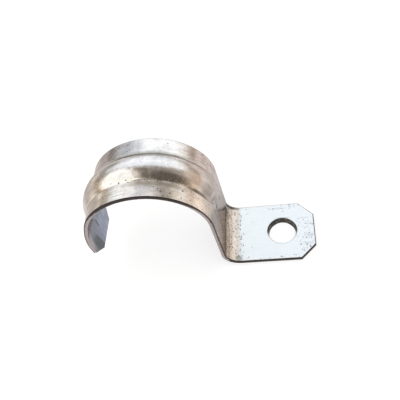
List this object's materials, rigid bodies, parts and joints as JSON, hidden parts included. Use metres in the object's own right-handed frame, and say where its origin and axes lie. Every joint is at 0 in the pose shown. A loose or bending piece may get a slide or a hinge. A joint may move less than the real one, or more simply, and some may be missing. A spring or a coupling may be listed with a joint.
{
  "type": "conduit strap",
  "caption": "Single-lobe conduit strap: a pressed steel strip with a ribbed arch and a flat tab with a screw hole and clipped corners.",
  "frame": {"origin": "where the screw hole's axis meets the underside of the tab, which lies on the wall", "axes": "+Z away from the wall along the screw hole's axis, +X from the arch to the end of the tab, +Y across the strip along the conduit"},
  "size_m": [0.0474, 0.014, 0.0286],
  "materials": {
    "galvanised_steel": "zinc coated, satin, with fine pits and scuffs"
  },
  "bodies": {
    "root": {"conduit_strap": "galvanised_steel"}
  },
  "joints": []
}
